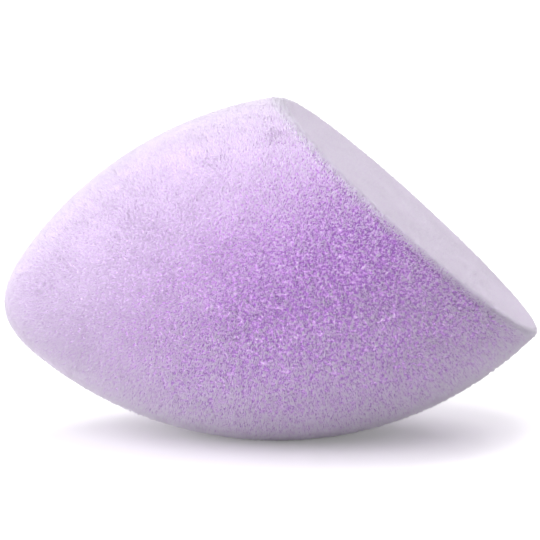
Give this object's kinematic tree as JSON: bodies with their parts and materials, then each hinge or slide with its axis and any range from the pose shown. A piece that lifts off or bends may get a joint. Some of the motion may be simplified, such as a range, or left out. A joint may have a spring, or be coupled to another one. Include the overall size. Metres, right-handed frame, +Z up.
{
  "type": "makeup sponge",
  "caption": "Soft egg-shaped foam sponge with a slanted flat face, covered all over in short velvety pile.",
  "frame": {"origin": "under the middle of the sponge's bounding box, at the level of the surface that it lies on", "axes": "+X from the nose to the cut end, +Z up, the slanted face looks towards +X and +Z, and the sponge is symmetric in Y"},
  "size_m": [0.0618, 0.04, 0.0394],
  "materials": {
    "foam": "soft open-cell foam",
    "glue_film": "flexible matt film",
    "body_pile": "short velvety pile",
    "face_pile": "short velvety pile"
  },
  "bodies": {
    "root": {"foam_core": "foam", "bond_film": "glue_film", "body_pile": "body_pile", "face_pile": "face_pile"}
  },
  "joints": []
}
